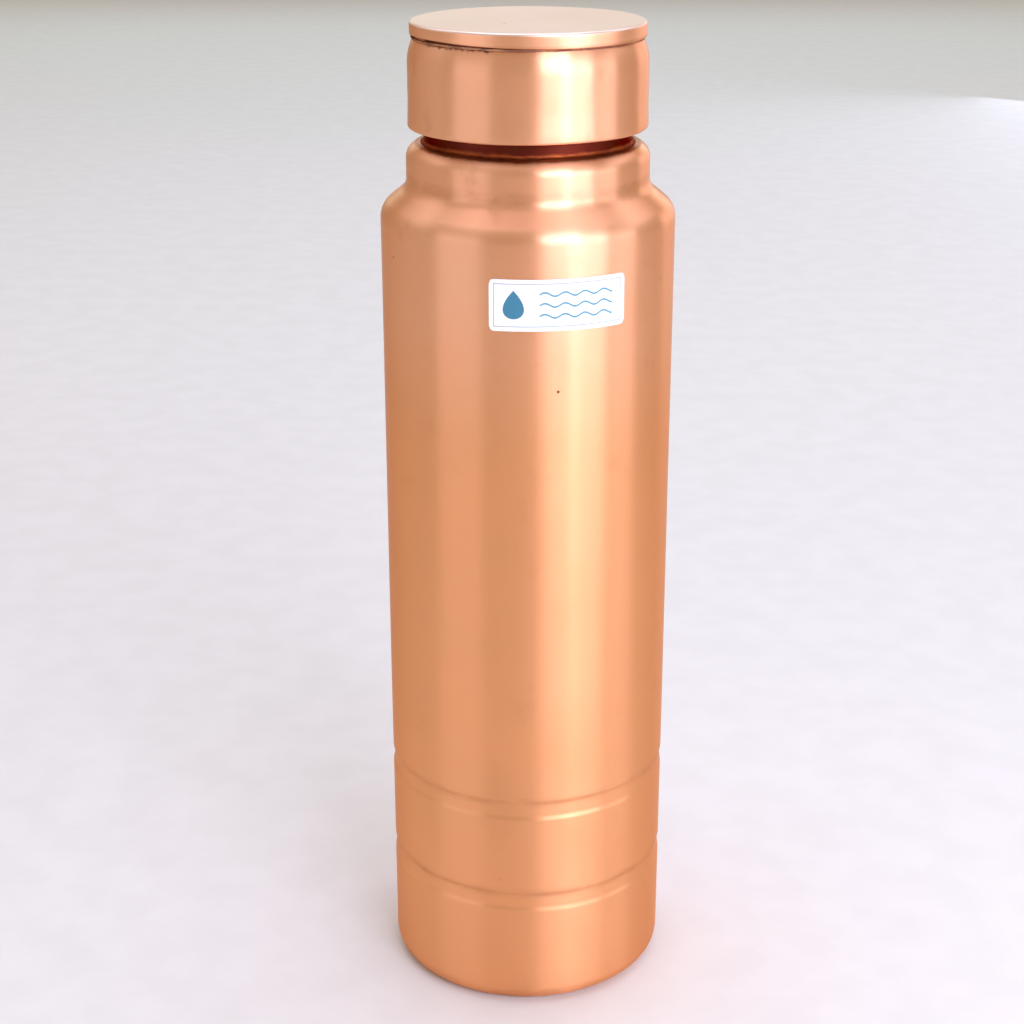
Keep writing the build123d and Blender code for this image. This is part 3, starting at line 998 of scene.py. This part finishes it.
def label_paper():
    """White sticker printed with a plain border, a water drop and three waves."""
    n = Nodes("sticker_paper")
    middle_z = (LABEL_LOW.z + LABEL_HIGH.z) / 2
    u = n.math("MULTIPLY", n.math("SUBTRACT", n.azimuth(), LABEL_TURN), LABEL_INNER_R / MM)
    v = n.math("DIVIDE", n.math("SUBTRACT", n.z, middle_z), MM)
    half_width, half_height = LABEL_WIDTH / 2 / MM, (LABEL_HIGH.z - LABEL_LOW.z) / 2 / MM
    from_side = n.math("SUBTRACT", n.math("ABSOLUTE", u), half_width - BORDER_INSET)
    from_top = n.math("SUBTRACT", n.math("ABSOLUTE", v), half_height - BORDER_INSET)
    border = n.band(n.math("MAXIMUM", from_side, from_top), 0, BORDER_HALF, PRINT_EDGE)
    drop_share = n.math("DIVIDE", n.math("SUBTRACT", v, DROP_FOOT_V), DROP_HEIGHT)
    inside = n.math("MINIMUM", n.math("MAXIMUM", drop_share, 0), 1)
    taper = n.math("MULTIPLY", n.math("SUBTRACT", 1, inside), DROP_WIDTH)
    drop_half = n.math("MULTIPLY", n.math("SQRT", inside), taper)
    from_drop = n.math("ABSOLUTE", n.math("SUBTRACT", u, DROP_U))
    drop = n.ramp(n.math("SUBTRACT", from_drop, drop_half), 0, -PRINT_EDGE)
    wave = n.math("MULTIPLY", n.math("SINE", n.math("MULTIPLY", u, WAVE_RATE)), WAVE_HEIGHT)
    up_rows = n.math("ADD", n.math("SUBTRACT", v, wave), 20 * WAVE_SPACING)
    row = n.math("PINGPONG", up_rows, WAVE_SPACING)
    in_rows = n.band(v, 0, WAVES_HALF_HEIGHT, WAVES_FADE)
    in_run = n.band(u, WAVES_U, WAVES_HALF_LENGTH, WAVES_FADE)
    rules = n.math("MULTIPLY", n.math("MULTIPLY", n.ramp(row, 0.26, 0.20), in_rows), in_run)
    fibre = n.noise(n.place, scale=1500, detail=4)
    stain = n.noise(n.place, scale=160, detail=3)
    paper = n.mix(n.ramp(stain, 0.45, 0.75, 0.0, 0.5), PAPER, PAPER_STAINED)
    colour = n.mix(n.math("MULTIPLY", border, 0.8), paper, BORDER_INK)
    colour = n.mix(rules, colour, WAVE_INK)
    colour = n.mix(drop, colour, DROP_INK)
    n.set(Base_Color=colour, Roughness=n.ramp(fibre, 0.3, 0.7, 0.42, 0.6), Normal=n.bump(fibre, 0.02 * MM))
    return n.material


def floor_material():
    """Plain pale matt floor."""
    n = Nodes("studio_floor")
    grain = n.noise(n.place, scale=60, detail=5)
    colour = n.mix(n.ramp(grain, 0.3, 0.7), *FLOOR_TONES)
    n.set(Base_Color=colour, Roughness=0.7, Normal=n.bump(grain, 0.05 * MM))
    return n.material


# ---------------------------------------------------------------- studio


def floor():
    half = FLOOR_SIZE / 2
    corners = [(-half, -half), (half, -half), (half, half), (-half, half)]
    piece = mesh_object("studio_floor", [(x, y, -FLOOR_SINK) for x, y in corners], [(0, 1, 2, 3)])
    piece.data.materials.append(floor_material())


def softbox(name, azimuth, elevation, distance, width, height, power, colour):
    """Rectangular soft light that faces the bottle."""
    light = bpy.data.lights.new(name, "AREA")
    light.shape = "RECTANGLE"
    light.size = width
    light.size_y = height
    light.energy = power
    light.color = colour
    lamp = bpy.data.objects.new(name, light)
    bpy.context.scene.collection.objects.link(lamp)
    out = Vector((sin(azimuth) * cos(elevation), -cos(azimuth) * cos(elevation), sin(elevation)))
    lamp.location = Vector((0, 0, SOFTBOX_AIM_Z)) + out * distance
    lamp.rotation_euler = out.to_track_quat("Z", "Y").to_euler()


def studio():
    """Pale surroundings and the soft lights."""
    world = bpy.data.worlds.new("studio")
    bpy.context.scene.world = world
    world.use_nodes = True
    backdrop = world.node_tree.nodes["Background"]
    backdrop.inputs["Color"].default_value = (*WORLD_COLOUR, 1.0)
    backdrop.inputs["Strength"].default_value = WORLD_STRENGTH
    for name, (azimuth, elevation, *settings) in SOFTBOXES.items():
        softbox(name, radians(azimuth), radians(elevation), *settings)


def camera():
    """The camera, from its place and its three angles."""
    ahead = cos(CAMERA_PITCH)
    forward = Vector((-sin(CAMERA_YAW) * ahead, cos(CAMERA_YAW) * ahead, -sin(CAMERA_PITCH)))
    level = forward.cross(Vector((0, 0, 1))).normalized()
    upright = level.cross(forward)
    right = level * cos(CAMERA_ROLL) + upright * sin(CAMERA_ROLL)
    up = upright * cos(CAMERA_ROLL) - level * sin(CAMERA_ROLL)
    data = bpy.data.cameras.new("camera")
    data.lens = LENS
    data.sensor_width = SENSOR_WIDTH
    data.clip_start = CLIP_START
    eye = bpy.data.objects.new("camera", data)
    bpy.context.scene.collection.objects.link(eye)
    eye.matrix_world = Matrix.Translation(CAMERA_AT) @ Matrix((right, up, -forward)).transposed().to_4x4()
    bpy.context.scene.camera = eye


# ---------------------------------------------------------------- the scene

camera()
floor()
studio()
bpy.context.scene.view_settings.view_transform = "Standard"

unpolished = inner_copper()
braze = solder()

barrel(satin_copper("copper_barrel", barrel_marks_and_shade, 0.92))
base_plate(unpolished)
base_solder(braze)
neck_ring(unpolished)
neck_solder(braze)
label_sticker(label_paper())
cap_skirt(satin_copper("copper_cap", cap_flux_and_shade, 0.92))
cap_cover(satin_copper("copper_disc", disc_marks_and_sheen, 0.25))
cap_solder(braze)
cap_thread_cup(unpolished)
cup_solder(braze)
washer(silicone())
